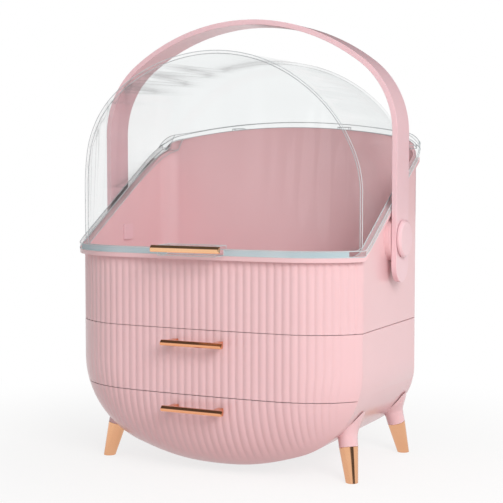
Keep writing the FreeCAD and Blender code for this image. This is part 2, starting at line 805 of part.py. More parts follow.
# ---------------------------------------------------------------- lid
def arch_edges(y, half, spring, rise, haunch):
    """A three-centred arch across the object, left to right."""
    inner = half - haunch
    crown = (inner ** 2 + rise ** 2 - haunch ** 2) / (2 * (rise - haunch))
    lean = math.atan2(inner, crown - rise)
    middle = (math.pi / 2 + lean) / 2
    join = Vector(crown * math.sin(lean), y, spring + rise - crown * (1 - math.cos(lean)))
    bend = Vector(inner + haunch * math.sin(middle), y, spring + haunch * math.cos(middle))
    top = Vector(0, y, spring + rise)
    return [
        edge(Part.Arc(Vector(-half, y, spring), Vector(-bend.x, y, bend.z),
                      Vector(-join.x, y, join.z))),
        edge(Part.Arc(Vector(-join.x, y, join.z), top, join)),
        edge(Part.Arc(join, bend, Vector(half, y, spring))),
    ]


def arch_wire(y, half, spring, rise, haunch, foot):
    """A three-centred arch closed by straight sides down to a foot."""
    left, right = Vector(-half, y, spring), Vector(half, y, spring)
    low_left, low_right = Vector(-half, y, foot), Vector(half, y, foot)
    return Part.Wire(arch_edges(y, half, spring, rise, haunch) + [
        Part.makeLine(right, low_right),
        Part.makeLine(low_right, low_left),
        Part.makeLine(low_left, left),
    ])


def dome_block(inset):
    """The dome as a solid, drawn smaller by the inset: arch behind, leaning bow in front."""
    rear = case_depth - size("lid_inset") - inset
    corner = size("dome_rear_round") - inset
    dome_top = crown_height + size("dome_rise")
    low = rim_front - edge_round

    def section(y, inward):
        """The arch of the dome, drawn smaller by a distance inwards."""
        return arch_wire(y, half_width - size("lid_inset") - inward, size("dome_spring"),
                         dome_top - size("dome_spring") - inward,
                         size("dome_haunch") - inward, low)

    barrel = Part.Face(section(-edge_round, inset)).extrude(
        Vector(0, rear - corner + edge_round, 0))
    steps = 3
    turns = [math.pi / 2 * i / steps for i in range(steps + 1)]
    end = Part.makeLoft([section(rear - corner * (1 - math.sin(turn)),
                                 inset + corner * (1 - math.cos(turn))) for turn in turns],
                        True, True)
    arch = barrel.fuse(end)
    top = dome_top + edge_round
    lean = size("dome_lean") / (dome_top - rim_front)

    def front_wire(z):
        """The front outline at a height: the bow flattens as it leans back."""
        share = 1 - lean * (z - rim_front) / front_bulge
        points = []
        for x in flat_stations:
            base = front_point(x, high_seam, -size("lid_inset") - inset)
            points.append(Vector(base.x, base.y * share + inset * (1 - share), z))
        back = case_depth + wall
        right = Vector(half_width + wall, back, z)
        left = Vector(-half_width - wall, back, z)
        return Part.Wire(line_chain(points) + [
            Part.makeLine(points[-1], right),
            Part.makeLine(right, left),
            Part.makeLine(left, points[0]),
        ])

    front = Part.makeLoft([front_wire(low), front_wire(top)], True, True)
    return arch.common(front)


lid_base = size("lid_seat_gap")
flange_top = lid_base + size("lid_flange")


def flange_waist():
    """The flange narrows towards the rear corners, where the strap swings past."""
    side = half_width + lip_reach
    start = case_depth - size("taper_run")
    tail = case_depth + lip_reach
    narrow = side - size("flange_taper")
    corners = [(-side, -beyond), (side, -beyond), (side, start), (narrow, tail),
               (-narrow, tail), (-side, start), (-side, -beyond)]
    outline = Part.makePolygon([Vector(x, y, 0) for x, y in corners])
    return Part.Face(outline).extrude(Vector(0, 0, 2 * crown_height))


def make_lid():
    """Clear dome with a flange that follows the rim, a lifting tab and two knuckles."""
    above = slab(rim_front - edge_round, crown_height + 4 * edge_round).cut(under_rim(lid_base))
    dome = dome_block(0.0).common(above)
    flange = plan_prism(rim_front, wall_top, lip_reach)
    flange = flange.common(under_rim(flange_top)).cut(under_rim(lid_base))
    flange = flange.cut(under_slope(lid_base)).common(flange_waist())
    tab_low = rim_front + lid_base
    tab = box((-size("tab_width") / 2, flange_front - size("tab_reach"), tab_low),
              (size("tab_width") / 2, flange_front + lip_reach, tab_low + size("tab_thickness")))
    lid = dome.fuse(flange).fuse(tab)
    bores = []
    for side in (-1, 1):
        centre = side * size("hinge_offset")
        barrel, bore = hinge_barrel(
            centre, knuckle_width, size("hinge_pin_radius") + size("running_gap"))
        arm = box((centre - knuckle_width / 2, case_depth + 2 * half_front_gap, hinge_z),
                  (centre + knuckle_width / 2, hinge_y + knuckle_radius, crown_height))
        lid = lid.fuse(arm.common(under_rim(lid_base + size("lid_flange") / 2))).fuse(barrel)
        bores.append(bore)
    lid = lid.cut(dome_block(size("lid_wall")))
    for bore in bores:
        lid = lid.cut(bore)
    return lid


def add_lid():
    """The lid, the bar on its tab and the two hinge pins."""
    shape_part("lid", make_lid())
    bar = make_pull("lid_pull_bar", "lid_bar_length", "lid_bar_height", None)
    bar.Placement = FreeCAD.Placement(
        Vector(0, flange_front - size("tab_reach"), rim_front + lid_base + size("lid_bar_rise")),
        FreeCAD.Rotation())
    finish(bar, "lid_pull_bar")
    pin_text = "knuckle_width + 2 * hinge_side_gap + 2 * ear_width"
    pin_length = knuckle_width + 2 * size("hinge_side_gap") + 2 * ear_width
    for side, word in ((-1, "left"), (1, "right")):
        pin = doc.addObject("Part::Cylinder", "hinge_pin_" + word)
        pin.setExpression("Radius", bound("hinge_pin_radius"))
        pin.setExpression("Height", bound(pin_text))
        start = Vector(side * size("hinge_offset") - pin_length / 2, hinge_y, hinge_z)
        finish(aim(pin, start, Vector(1, 0, 0)), "hinge_pin_" + word)


# ---------------------------------------------------------------- handle
def make_strap():
    """Flat strap bent to an arch, with round ends and a pivot hole in each leg."""
    thick = size("strap_thickness")
    foot = pivot_z - size("strap_tail")
    width = size("strap_width")
    front = pivot_y - width / 2

    rise = crown_height + size("dome_rise") + size("strap_headroom") - size("strap_spring")

    def arch_face(grow):
        """Everything below the arch, in the plane of the strap's front edge."""
        return Part.Face(arch_wire(front, strap_inner + grow, size("strap_spring"),
                                   rise + grow, size("strap_haunch") + grow, foot))

    ring = arch_face(thick).cut(arch_face(0))
    strap = ring.extrude(Vector(0, width, 0))
    tail = foot + width / 2
    round_end = Part.makeCylinder(width / 2, 2 * beyond, Vector(-beyond, pivot_y, tail),
                                  Vector(1, 0, 0))
    strap = strap.common(slab(tail, tail + 4 * beyond).fuse(round_end))
    hole = size("pivot_radius") + size("running_gap")
    return strap.cut(Part.makeCylinder(hole, 2 * beyond, Vector(-beyond, pivot_y, pivot_z),
                                       Vector(1, 0, 0)))


def add_handle():
    """The strap, the two pivot pins and their caps."""
    shape_part("handle_strap", make_strap())
    pin_profile = [
        ("0", "-collar_thickness"),
        ("pivot_radius", "-collar_thickness"),
        ("pivot_radius", "tray_wall + strap_stand_off + strap_thickness + cap_gap"),
        ("0", "tray_wall + strap_stand_off + strap_thickness + cap_gap"),
    ]
    cap_profile = [
        ("0", "0"),
        ("cap_radius", "0"),
        ("cap_radius", "cap_height - cap_bevel"),
        ("cap_radius - cap_bevel", "cap_height"),
        ("0", "cap_height"),
    ]
    cap_x = strap_inner + size("strap_thickness") + size("cap_gap")
    pins = []
    caps = []
    for side, word in ((-1, "left"), (1, "right")):
        out = Vector(side, 0, 0)
        pin = turned_body("pin_" + word, pin_profile)
        collar = pin.newObject("PartDesign::Pad", "collar_" + word)
        collar.Profile = sketch_outline(pin, "XY_Plane", [
            (sign_x + "pivot_collar", sign_y + "pivot_collar")
            for sign_x, sign_y in (("-", "-"), ("", "-"), ("", ""), ("-", ""))])
        collar.Reversed = True
        collar.setExpression("Length", bound("collar_thickness"))
        pins.append(aim(pin, Vector(side * (half_width - tray_wall), pivot_y, pivot_z), out))
        cap = turned_body("cap_" + word, cap_profile)
        caps.append(aim(cap, Vector(side * cap_x, pivot_y, pivot_z), out))
    pair("pivot_pins", pins)
    pair("pivot_caps", caps)


# ---------------------------------------------------------------- feet
ferrule_length = size("ferrule_length")
foot_flats = 20


def foot_placements():
    """Ground point and leaning axis of each of the four feet."""
    rows = ((size("front_foot_depth"), 1), (case_depth - size("rear_foot_inset"), -1))
    for depth, rake in rows:
        for side in (-1, 1):
            ground = Vector(side * size("foot_spread"), depth, 0)
            lean = Vector(-side * size("foot_splay"), rake * size("foot_rake"), 1)
            yield FreeCAD.Placement(ground, FreeCAD.Rotation(Vector(0, 0, 1), lean))


def turned_flats(rings):
    """A turned solid about Z in flats, through (height, radius) rings."""
    turns = [2 * math.pi * i / foot_flats for i in range(foot_flats + 1)]
    outlines = [[Vector(radius * math.cos(turn), radius * math.sin(turn), z) for turn in turns]
                for z, radius in rings]
    faces = [Part.Face(Part.makePolygon(outline)) for outline in (outlines[0], outlines[-1])]
    for low, high in zip(outlines, outlines[1:]):
        for i in range(foot_flats):
            corners = [low[i], low[i + 1], high[i + 1], high[i], low[i]]
            faces.append(Part.Face(Part.makePolygon(corners)))
    return Part.Solid(Part.Shell(faces))


def make_leg():
    """Leg about Z: a straight neck on the ferrule and a flared root."""
    radius = size("ferrule_top_radius")
    return turned_flats([(ferrule_length, radius),
                         (ferrule_length + size("leg_neck_length"), radius),
                         (ferrule_length + size("leg_root_length"), size("leg_root_radius"))])


def make_ferrule():
    """Tapered metal tip about Z, drawn a little below the ground point."""
    tip = size("ferrule_tip_radius")
    taper = (size("ferrule_top_radius") - tip) / ferrule_length
    return turned_flats([(-tip, tip * (1 - taper)), (ferrule_length, size("ferrule_top_radius"))])


def add_feet():
    """Four splayed legs under the case, each in a ferrule cut level with the table."""
    block = case_space(0, -beyond, 0, high_seam)
    legs = []
    ferrules = []
    for place in foot_placements():
        leg = make_leg()
        leg.Placement = place
        leg = leg.common(rounded_box(0, half_front_gap, 0, high_seam)).cut(block)
        legs.append(leg.removeSplitter())
        ferrule = make_ferrule()
        ferrule.Placement = place
        ferrules.append(ferrule.common(slab(0, high_seam)).removeSplitter())
    for name, pieces in (("case_legs", legs), ("leg_ferrules", ferrules)):
        group = doc.addObject("Part::Feature", name)
        group.Shape = Part.makeCompound(pieces)
        finish(group, name)


# ---------------------------------------------------------------- the whole object
shelf_top = size("shelf_height")
ledge_low = shelf_top - size("shelf_thickness") - size("ledge_height")
deck_low = high_seam - half_seam - size("deck_thickness")
shape_part("lower_case", make_lower_case())
shape_part("drawer_shelf", make_shelf())
shape_part("upper_tray", make_tray())
add_drawer("upper", low_seam + half_seam, shelf_top + half_seam, high_seam - half_seam,
           deck_low - size("drawer_headroom"), size("upper_pull_height"))
add_drawer("lower", 0, 0, low_seam - half_seam, ledge_low - size("drawer_headroom"),
           size("lower_pull_height"))
add_lid()
add_handle()
add_feet()
doc.recompute()

faults = [item.Name + " " + " ".join(item.State) for item in doc.Objects
          if "Invalid" in item.State or "Error" in item.State]
faults += [piece.Label + " has a bad shape" for piece in parts
           if piece.Shape.isNull() or not piece.Shape.isValid()]
if faults:
    raise RuntimeError("; ".join(faults))
os.makedirs("parts", exist_ok=True)
for piece in parts:
    piece.Shape.exportStep(os.path.join("parts", piece.Label + ".step"))
    bounds = piece.Shape.BoundBox
    print(piece.Label, len(piece.Shape.Solids), "solids", round(piece.Shape.Volume), "mm3",
          [round(v, 1) for v in (bounds.XMin, bounds.XMax, bounds.YMin, bounds.YMax,
                                 bounds.ZMin, bounds.ZMax)])
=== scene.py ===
# %% [markdown]
# # A make-up storage case, drawn over its packed construction model
#
# The construction model gives every size and every moving body.  This lesson puts the
# finished look on it: reeded and softly rolled drawer fronts, a tray under a clear
# domed lid, a strap handle, rose-gold fittings, and a bright table-top studio.

import math

import bmesh
import bpy
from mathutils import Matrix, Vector


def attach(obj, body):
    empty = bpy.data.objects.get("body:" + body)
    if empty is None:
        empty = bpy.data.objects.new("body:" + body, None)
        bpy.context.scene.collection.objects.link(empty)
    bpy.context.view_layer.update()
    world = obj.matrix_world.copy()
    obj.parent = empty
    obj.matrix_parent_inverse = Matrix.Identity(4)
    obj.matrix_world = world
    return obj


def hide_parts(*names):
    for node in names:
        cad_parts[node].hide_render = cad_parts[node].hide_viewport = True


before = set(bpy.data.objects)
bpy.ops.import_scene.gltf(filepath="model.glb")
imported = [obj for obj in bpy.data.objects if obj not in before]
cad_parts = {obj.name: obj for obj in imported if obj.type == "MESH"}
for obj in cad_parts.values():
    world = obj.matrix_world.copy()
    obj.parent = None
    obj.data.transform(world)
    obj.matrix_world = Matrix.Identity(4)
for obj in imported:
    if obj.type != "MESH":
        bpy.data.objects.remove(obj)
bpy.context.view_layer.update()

# %% [markdown]
# ## Units and small helpers
#
# Blender works in metres here.  The case was drawn in millimetres from the plane of the
# case's opening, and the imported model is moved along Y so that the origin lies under
# its middle, so one function turns a drawing place into a scene place.

# %%
MM = 0.001
OPENING_Y = -52.975
SMOOTH_UP_TO = 35.0    # degrees between faces that are shaded as one surface
SMOOTH_REEDS = 50.0    # the same for the reeded pieces
SHARP = 40.0           # degrees from which an edge is softened or traced
FLAT_WITHIN = 0.5      # degrees within which neighbouring faces are one flat face


def place(x, y, z):
    """A drawing place in mm as a scene place in metres."""
    return Vector((x, y + OPENING_Y, z)) * MM


def piece_from(bm, name, body, slot, material, smooth=SMOOTH_UP_TO):
    """Turn a bmesh into a scene object that rides on a body."""
    bmesh.ops.remove_doubles(bm, verts=bm.verts, dist=1e-6)
    bmesh.ops.recalc_face_normals(bm, faces=bm.faces)
    mesh = bpy.data.meshes.new(name)
    bm.to_mesh(mesh)
    bm.free()
    mesh.shade_smooth()
    mesh.set_sharp_from_angle(angle=math.radians(smooth))
    mesh.materials.append(material)
    piece = bpy.data.objects.new(name, mesh)
    bpy.context.scene.collection.objects.link(piece)
    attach(piece, body)
    return piece


def merged(node):
    """A joined-up copy of a construction node: its own mesh is loose triangles."""
    bm = bmesh.new()
    bm.from_mesh(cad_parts[node].data)
    bmesh.ops.remove_doubles(bm, verts=bm.verts, dist=2e-6)
    bmesh.ops.dissolve_limit(bm, angle_limit=math.radians(FLAT_WITHIN),
                             verts=bm.verts, edges=bm.edges)
    return bm


def smooth_step(value):
    """0 below 0, 1 above 1, and an even curve between."""
    value = min(max(value, 0.0), 1.0)
    return value * value * (3 - 2 * value)


def soften(piece, width):
    """Break the sharp edges of a piece by a bevel of a given width in mm."""
    bevel = piece.modifiers.new("softened edges", "BEVEL")
    bevel.width = width * MM
    bevel.segments = 2
    bevel.limit_method = "ANGLE"
    bevel.angle_limit = math.radians(SHARP)
    bevel.use_clamp_overlap = True
    return piece


def even_shading(piece):
    """Let broad faces set the shading, so that flats look flat up to their edges."""
    shading = piece.modifiers.new("even shading", "WEIGHTED_NORMAL")
    shading.keep_sharp = True
    return piece


# %% [markdown]
# ## Shader sums
#
# A material is a small graph.  `Wire` stands for one socket of it, so that the sums in
# a material read as ordinary Python, and `Graph.add` makes every other kind of node.

# %%
class Wire:
    """One output socket, on which Python's own operators work."""

    def __init__(self, graph, socket):
        self.graph = graph
        self.socket = socket

    def _sum(self, operation, left, right):
        return self.graph.add("ShaderNodeMath", {"operation": operation}, {0: left, 1: right})

    def __add__(self, other):
        return self._sum("ADD", self, other)

    def __radd__(self, other):
        return self._sum("ADD", other, self)

    def __sub__(self, other):
        return self._sum("SUBTRACT", self, other)

    def __rsub__(self, other):
        return self._sum("SUBTRACT", other, self)

    def __mul__(self, other):
        return self._sum("MULTIPLY", self, other)

    def __rmul__(self, other):
        return self._sum("MULTIPLY", other, self)

    def __truediv__(self, other):
        return self._sum("DIVIDE", self, other)

    def __pow__(self, other):
        return self._sum("POWER", self, other)


class Graph:
    """The node graph of one material, or of the surround."""

    def __init__(self, owner, output="ShaderNodeOutputMaterial"):
        self.owner = owner
        self.owner.use_nodes = True
        self.tree = self.owner.node_tree
        self.tree.nodes.clear()
        self.output = self.tree.nodes.new(output)

    def feed(self, socket, value):
        """Join a wire to an input, or set the input to a fixed value."""
        if isinstance(value, Wire):
            self.tree.links.new(value.socket, socket)
        else:
            socket.default_value = value

    def add(self, kind, settings=None, inputs=None, output=0):
        """Make a node and return one of its outputs."""
        node = self.tree.nodes.new(kind)
        for key, value in (settings or {}).items():
            setattr(node, key, value)
        for key, value in (inputs or {}).items():
            self.feed(node.inputs[key], value)
        return Wire(self, node.outputs[output])

    def place(self, stretch=(1.0, 1.0, 1.0)):
        """The object's own coordinates, stretched by a Mapping node."""
        here = self.add("ShaderNodeTexCoord", output="Object")
        return self.add("ShaderNodeMapping", {"vector_type": "POINT"},
                        {"Vector": here, "Scale": stretch})

    def noise(self, scale, detail=2.0, stretch=(1.0, 1.0, 1.0)):
        """Smooth random values from 0 to 1."""
        return self.add("ShaderNodeTexNoise", {},
                        {"Vector": self.place(stretch), "Scale": scale, "Detail": detail})

    def blend(self, share, low, high):
        """A colour between two colours."""
        return self.add("ShaderNodeMix", {"data_type": "RGBA"},
                        {0: share, 6: low, 7: high}, output=2)

    def bump(self, height, distance):
        """A normal from a height between 0 and 1 times a distance in metres."""
        return self.add("ShaderNodeBump", {},
                        {"Height": height, "Distance": distance, "Strength": 1.0})

    def surface(self, **inputs):
        """A Principled surface."""
        named = {key.replace("_", " "): value for key, value in inputs.items()}
        return self.add("ShaderNodeBsdfPrincipled", {}, named)

    def mix(self, share, low, high):
        """A shader between two shaders."""
        return self.add("ShaderNodeMixShader", {}, {0: share, 1: low, 2: high})

    def finish(self, shader):
        """Send a shader to the output."""
        self.feed(self.output.inputs["Surface"], shader)
        return self.owner


def new_graph(name):
    """The graph of a new material."""
    return Graph(bpy.data.materials.new(name))


def linear(red, green, blue):
    """A screen colour (0 to 255) as the linear colour that shaders use."""
    def one(value):
        value /= 255
        return value / 12.92 if value <= 0.04045 else ((value + 0.055) / 1.055) ** 2.4
    return (one(red), one(green), one(blue), 1.0)


# %% [markdown]
# ## Moulded plastics
#
# Polished moulds leave a plastic that is glossy but not quite even: the gloss drifts a
# little over a few centimetres, and a faint waviness bends the reflections.  It could be
# one flat colour, but then every face would look cut from card; three noises of very
# different size keep it alive without showing a pattern.

# %%
DRIFT_SCALE = 22.0
WAVE_SCALE = 60.0
GRAIN_SCALE = 900.0
WAVE_HEIGHT = 0.02 * MM
DRIFT_ROUGH = 0.06
GRAIN_ROUGH = 0.05
MEAN_ROUGH = (DRIFT_ROUGH + GRAIN_ROUGH) / 2


def moulded(name, colour, deeper, rough, coat):
    """A moulded plastic from two near colours."""
    graph = new_graph(name)
    drift = graph.noise(DRIFT_SCALE)
    grain = graph.noise(GRAIN_SCALE, 3.0)
    waves = graph.noise(WAVE_SCALE, 1.0)
    height = waves * 0.8 + grain * 0.2
    return graph.finish(graph.surface(
        Base_Color=graph.blend(drift, linear(*colour), linear(*deeper)),
        Roughness=drift * DRIFT_ROUGH + grain * GRAIN_ROUGH + (rough - MEAN_ROUGH),
        Normal=graph.bump(height, WAVE_HEIGHT),
        IOR=1.5,
        Coat_Weight=coat,
        Coat_Roughness=0.14,
        Subsurface_Weight=0.06,
        Subsurface_Radius=(0.004, 0.0025, 0.002),
        Subsurface_Scale=1.0,
    ))


pink = moulded("case pink", (237, 198, 201), (234, 194, 197), 0.36, 0.45)
strap_pink = moulded("handle pink", (240, 203, 208), (237, 198, 204), 0.34, 0.45)
inner_pink = moulded("inside pink", (241, 190, 188), (237, 185, 183), 0.42, 0.10)
print("plastics:", pink.name, strap_pink.name, inner_pink.name)

# %% [markdown]
# ## Clear plastic
#
# A wall of clear styrene lets nearly all the light through.  Where it is seen edge on,
# it mirrors more, and the light it bends darkens its outline: that thin dark line is
# painted shade here, a grey tone mixed in towards the outline.  A broken edge or a thick
# cut face gathers light from the whole wall and looks milky: that light is a painted
# highlight, a pale tone, and a thick face also has a blue-green cast of its own.  So
# there are four finishes, for the wall, the broken edge, the cut face and the flange,
# all mixed from a see-through surface, a surface of painted tone and a mirroring one;
# the flange's pale tone is a painted highlight too.  Real refraction would bend the view
# at both sides of every thin wall and take many bounces of light; a see-through surface
# is calmer.

# %%
# The smoky outline set below is painted shade: a grey tone mixed in where a wall is seen edge
# on, for the dark edge that bent light gives.
MOST_PAINTED_OUTLINE = 0.24      # smoky share where a wall is seen edge on
PAINTED_OUTLINE_POWER = 12       # how closely the smoke keeps to the outline
MOST_MIRROR = 0.05     # mirroring share where a wall is seen edge on
MIRROR_POWER = 3
WAVE_MIRROR = 0.02
WALL_WAVE_SCALE = 30.0
WALL_WAVE_HEIGHT = 0.03 * MM
STREAK_SCALE = 16.0
STREAK_STRETCH = (1.0, 0.4, 0.4)


def clear(name, veil, mirror, tint, deep_tint):
    """Clear plastic: veil and mirror are its least shares of painted tone and of mirroring."""
    graph = new_graph(name)
    waves = graph.noise(WALL_WAVE_SCALE, 1.0)
    streaks = graph.noise(STREAK_SCALE, 2.0, STREAK_STRETCH)
    bent = graph.bump(waves, WALL_WAVE_HEIGHT)
    edge_on = graph.add("ShaderNodeLayerWeight", {}, {"Blend": 0.5, "Normal": bent},
                        output="Facing")
    through = graph.add("ShaderNodeBsdfTransparent", {}, {"Color": (0.985, 0.99, 0.99, 1)})
    # This tone is mixed in over the see-through: painted shade on a wall's outline, a painted
    # highlight on edges and the flange, and on cut faces a painted highlight over their own
    # blue-green cast.
    painted_and_own_tone = graph.surface(Base_Color=graph.blend(streaks, linear(*tint), linear(*deep_tint)),
                          Roughness=0.4 + waves * 0.1, Specular_IOR_Level=0.0)
    shine = graph.surface(Base_Color=linear(240, 243, 244), Metallic=1.0,
                          Roughness=0.07 + waves * 0.04, Normal=bent)
    painted_and_own_share = edge_on ** PAINTED_OUTLINE_POWER * max(MOST_PAINTED_OUTLINE - veil, 0.0) + veil
    mirroring = edge_on ** MIRROR_POWER * MOST_MIRROR + waves * WAVE_MIRROR + mirror
    veiled = graph.mix(painted_and_own_share, through, painted_and_own_tone)
    return graph.finish(graph.mix(mirroring, veiled, shine))


glassy = clear("lid clear", 0.004, 0.012, (150, 158, 160), (130, 138, 140))
# The broken edge's pale tone is a painted highlight, and it covers the see-through fully.
glassy_edge_highlight = clear("lid edge painted highlight", 1.0, 0.15, (226, 233, 234), (180, 190, 193))
# The cut face's pale tone is a painted highlight; its blue-green is the plastic's own cast.
glassy_cut = clear("lid cut face", 0.85, 0.06, (208, 226, 230), (120, 172, 182))
# The flange's near-white tone is a painted highlight.
glassy_flange_highlight = clear("lid flange highlight", 0.34, 0.05, (246, 250, 250), (226, 234, 235))
print("clear plastics:", glassy.name, glassy_edge_highlight.name, glassy_cut.name, glassy_flange_highlight.name)

# %% [markdown]
# ## Rose gold and steel
#
# The plating is metal all through as far as light is concerned.  The bars are brushed
# along their length and the turned ferrules are polished lengthways, so each noise is
# drawn out along the way of the brush, and bends the highlight like fine scratches.

# %%
SCRATCH_SCALE = 420.0
SCRATCH_HEIGHT = 0.012 * MM
SCRATCH_ROUGH = 0.10
TONE_SCALE = 35.0
ALONG_X = (0.03, 1.0, 1.0)
NEARLY_ALONG_X = (0.1, 1.0, 1.0)
ALONG_Z = (1.0, 1.0, 0.2)


def plated(name, colour, deeper, rough, stretch):
    """Plated metal with fine scratches along one direction."""
    graph = new_graph(name)
    scratches = graph.noise(SCRATCH_SCALE, 4.0, stretch)
    tone = graph.noise(TONE_SCALE)
    return graph.finish(graph.surface(
        Base_Color=graph.blend(tone, linear(*colour), linear(*deeper)),
        Metallic=1.0,
        Roughness=scratches * SCRATCH_ROUGH + (rough - SCRATCH_ROUGH / 2),
        Normal=graph.bump(scratches, SCRATCH_HEIGHT),
    ))


bar_gold = plated("bar rose gold", (250, 200, 158), (243, 188, 142), 0.16, ALONG_X)
pull_gold = plated("pull rose gold", (240, 174, 134), (232, 162, 120), 0.16, ALONG_X)
turned_gold = plated("turned rose gold", (240, 190, 152), (226, 166, 124), 0.11, ALONG_Z)
pin_steel = plated("pin steel", (196, 198, 202), (182, 184, 188), 0.28, NEARLY_ALONG_X)
print("metals:", bar_gold.name, pull_gold.name, turned_gold.name, pin_steel.name)

# %% [markdown]
# ## The cushion front
#
# Seen from the front the case is a U of three arcs.  The drawer fronts fill the U as
# one cushion: nearly flat in the middle, and rolled back by one radius to the edge all
# the way round.  It could be sculpted or subdivided from a rough cage, but its seams
# have to meet closely.  So it is a formula: `front_y` gives the depth of the surface at
# any place of the U, and both drawers are cut from it, so their reeds run on from one to
# the other.

# %%
HALF = 145.0           # half the width of the case
BULGE = 36.8           # how far the middle of the front stands out
BOW_RADIUS = 1450.0    # the slight bow from side to side
ROLL_RADIUS = 67.0     # the roll back to the edge
HAUNCH = 78.0          # the rounded corners of the U, and their centres' height
HAUNCH_Z = 102.0
UNDERSIDE = 16.0       # the lowest place of the belly before it is hung lower
SEAM_Z = 138.2         # the seam under the tray
OUTER_FALL = 0.6       # how far past its edge the surface is carried on

haunch_x = HALF - HAUNCH
drop = UNDERSIDE - HAUNCH_Z
belly = (HAUNCH ** 2 - haunch_x ** 2 - drop ** 2) / (2 * (drop + HAUNCH))
belly_z = UNDERSIDE + belly
belly_turn = math.atan2(haunch_x, belly_z - HAUNCH_Z)
roll = math.sqrt(ROLL_RADIUS ** 2 - (ROLL_RADIUS - BULGE) ** 2)
edge_fall = roll / (ROLL_RADIUS - BULGE) / BULGE


def depth_inside(x, z):
    """How far a place of the front lies inside the U."""
    x = abs(x)
    if z >= HAUNCH_Z:
        return HALF - x
    if math.atan2(x, belly_z - z) < belly_turn:
        return belly - math.hypot(x, belly_z - z)
    return HAUNCH - math.hypot(x - haunch_x, z - HAUNCH_Z)


def front_y(x, z, inset=0.0):
    """Depth of the cushion, or of a surface that runs inside it."""
    into = roll - depth_inside(x, z) + inset
    if into <= 0:
        full = 1.0
    elif into <= roll:
        full = 1.0 - (ROLL_RADIUS - math.sqrt(ROLL_RADIUS ** 2 - into ** 2)) / BULGE
    else:
        full = -OUTER_FALL * math.tanh(edge_fall * (into - roll) / OUTER_FALL)
    return inset - (BULGE - x * x / (2 * BOW_RADIUS)) * full


HANG = 7.6             # how much lower the belly hangs than in the solids
HANG_TOP = 76.0        # from this height down
HANG_MIDDLE = 20.0     # and fully within this distance from the middle
NUDGE = 0.05


def hung(x, z):
    """Height of a place once the belly hangs a little lower than in the solids."""
    middle = 1 - smooth_step((abs(x) - HANG_MIDDLE) / (HALF - HANG_MIDDLE))
    return z - HANG * middle * smooth_step((HANG_TOP - z) / (HANG_TOP - UNDERSIDE))


def across(x, z):
    """The unit vector along the front's outline at a height."""
    slope = (front_y(x + NUDGE, z) - front_y(x - NUDGE, z)) / (2 * NUDGE)
    return Vector((1.0, slope)).normalized()


print("belly radius", round(belly, 1), "roll width", round(roll, 1))

# %% [markdown]
# ## Reeds
#
# A reed is a shallow round rib.  A bump texture could draw it, but its outline shows at
# the corners and along the seams, so it is modelled.  The reeds are spaced evenly along
# the outline and not across it, so they crowd together towards the corners as seen from
# the front.  The outer ones lean in as the case narrows, and all of them die out just
# above the edge, as a moulder would do so that the front comes off the mould cleanly.

# %%
REEDS = 42
PER_REED = 8           # points across one reed
REED_SINK = 0.15       # depth of a reed's crown under the surface
REED_DEPTH = 1.05      # and of the valley between two
FINE_STEPS = 3000      # steps in which the outline's length is measured
LEAN = 0.3             # share by which the outer reeds lean in
KEPT_EDGE = 14.0       # width at the side over which the lean dies out
FADE_WIDTH = 3.0       # width over which the reeds die out above the haunches
FADE_BELOW = 17.0      # and how much wider it gets at the underside


def outline_stations(count):
    """Places across the front that divide its outline into equal lengths."""
    xs = [HALF * (2 * i / FINE_STEPS - 1) for i in range(FINE_STEPS + 1)]
    run = [0.0]
    for left, right in zip(xs, xs[1:]):
        fall = front_y(right, SEAM_Z) - front_y(left, SEAM_Z)
        run.append(run[-1] + math.hypot(right - left, fall))
    found = []
    at = 0
    for i in range(count + 1):
        goal = run[-1] * i / count
        while at < FINE_STEPS - 1 and run[at + 1] < goal:
            at += 1
        share = (goal - run[at]) / (run[at + 1] - run[at])
        found.append(xs[at] + share * (xs[at + 1] - xs[at]))
    return found


def reed_groove(index):
    """How deep the surface lies at a station: round ribs with narrow valleys."""
    share = abs((index % PER_REED) / PER_REED * 2 - 1)
    return REED_SINK + (REED_DEPTH - REED_SINK) * share ** 2


def below_haunches(z):
    """0 above the haunches and 1 at the underside."""
    return max(HAUNCH_Z - z, 0.0) / (HAUNCH_Z - UNDERSIDE)


def lean_in(x, z):
    """Outer reeds lean towards the middle below the haunches; the edge stays out."""
    outer = max(abs(x) - (HALF - roll), 0.0) * smooth_step((HALF - abs(x)) / KEPT_EDGE)
    return x - math.copysign(outer * LEAN * below_haunches(z), x)


stations = outline_stations(REEDS * PER_REED)


def reeded_place(index, z):
    """The finished front surface at a station and height."""
    x = lean_in(stations[index], z)
    fade = smooth_step(depth_inside(x, z) / (FADE_WIDTH + FADE_BELOW * below_haunches(z)))
    groove = reed_groove(index) * fade
    along = across(x, z)
    return Vector((x + along.y * groove, front_y(x, z) + along.x * groove, z))


print("stations:", len(stations))

# %% [markdown]
# ## Drawer fronts
#
# A front could be cut from a solid cushion by boolean steps, but those leave slivers
# along every reed.  So it starts as a flat grid whose points are laid on the surface.
# The part that hangs outside the U is cut off at the plane of the opening, and the sheet
# is extruded inwards, which gives it a wall, a floor and a back rim in one step.

# %%
FRONT_WALL = 3.2
BACK_RIM = 6.0         # width of the rim behind the edge
RIM_REACH = 30.0       # depth inside the U at which the rim has died out
FLOOR_RISE = 0.02      # keeps points that are lifted onto the floor a little apart
CUT_Y = -0.25          # just in front of the plane of the opening
UPPER_LOW = 78.2
UPPER_HIGH = 138.0
UPPER_FLOOR = 80.3
UPPER_ROWS = 40
LOWER_LOW = 9.0
LOWER_HIGH = 77.6
LOWER_FLOOR = 9.0
LOWER_ROWS = 64


def inward(x, z):
    """The direction from a place of the front to the middle of the U."""
    if z >= HAUNCH_Z:
        return Vector((-math.copysign(1.0, x), 0.0))
    if math.atan2(abs(x), belly_z - z) < belly_turn:
        return Vector((-x, belly_z - z)).normalized()
    return Vector((math.copysign(haunch_x, x) - x, HAUNCH_Z - z)).normalized()


